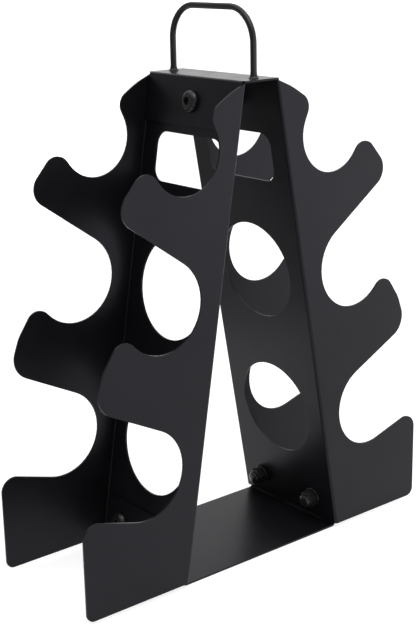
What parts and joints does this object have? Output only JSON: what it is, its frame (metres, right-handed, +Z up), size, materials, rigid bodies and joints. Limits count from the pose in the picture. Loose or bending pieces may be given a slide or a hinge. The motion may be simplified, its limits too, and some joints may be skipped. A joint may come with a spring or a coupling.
{
  "type": "tabletop cradle rack",
  "caption": "Free-standing A-frame rack of bent black sheet steel: hooked side plates form stacked open cradles on both sides, with a base plate and a wire carry handle.",
  "frame": {"origin": "on the floor under the middle of the rack", "axes": "+Z up; front towards -Y, the way the side plates face; the legs stand to the left (-X) and right (+X)"},
  "size_m": [0.35, 0.1156, 0.4389],
  "materials": {
    "powder_coat": "fine satin black powder coat",
    "black_plating": "glossy black plated steel"
  },
  "bodies": {
    "root": {"left_leg": "powder_coat", "right_leg": "powder_coat", "top_cap": "powder_coat", "base_plate": "powder_coat", "carry_handle": "powder_coat", "left_top_bolt": "black_plating", "left_top_washer": "black_plating", "left_top_nut": "black_plating", "left_front_bolt": "black_plating", "left_front_washer": "black_plating", "left_front_nut": "black_plating", "left_rear_bolt": "black_plating", "left_rear_washer": "black_plating", "left_rear_nut": "black_plating", "right_top_bolt": "black_plating", "right_top_washer": "black_plating", "right_top_nut": "black_plating", "right_front_bolt": "black_plating", "right_front_washer": "black_plating", "right_front_nut": "black_plating", "right_rear_bolt": "black_plating", "right_rear_washer": "black_plating", "right_rear_nut": "black_plating"}
  },
  "joints": []
}
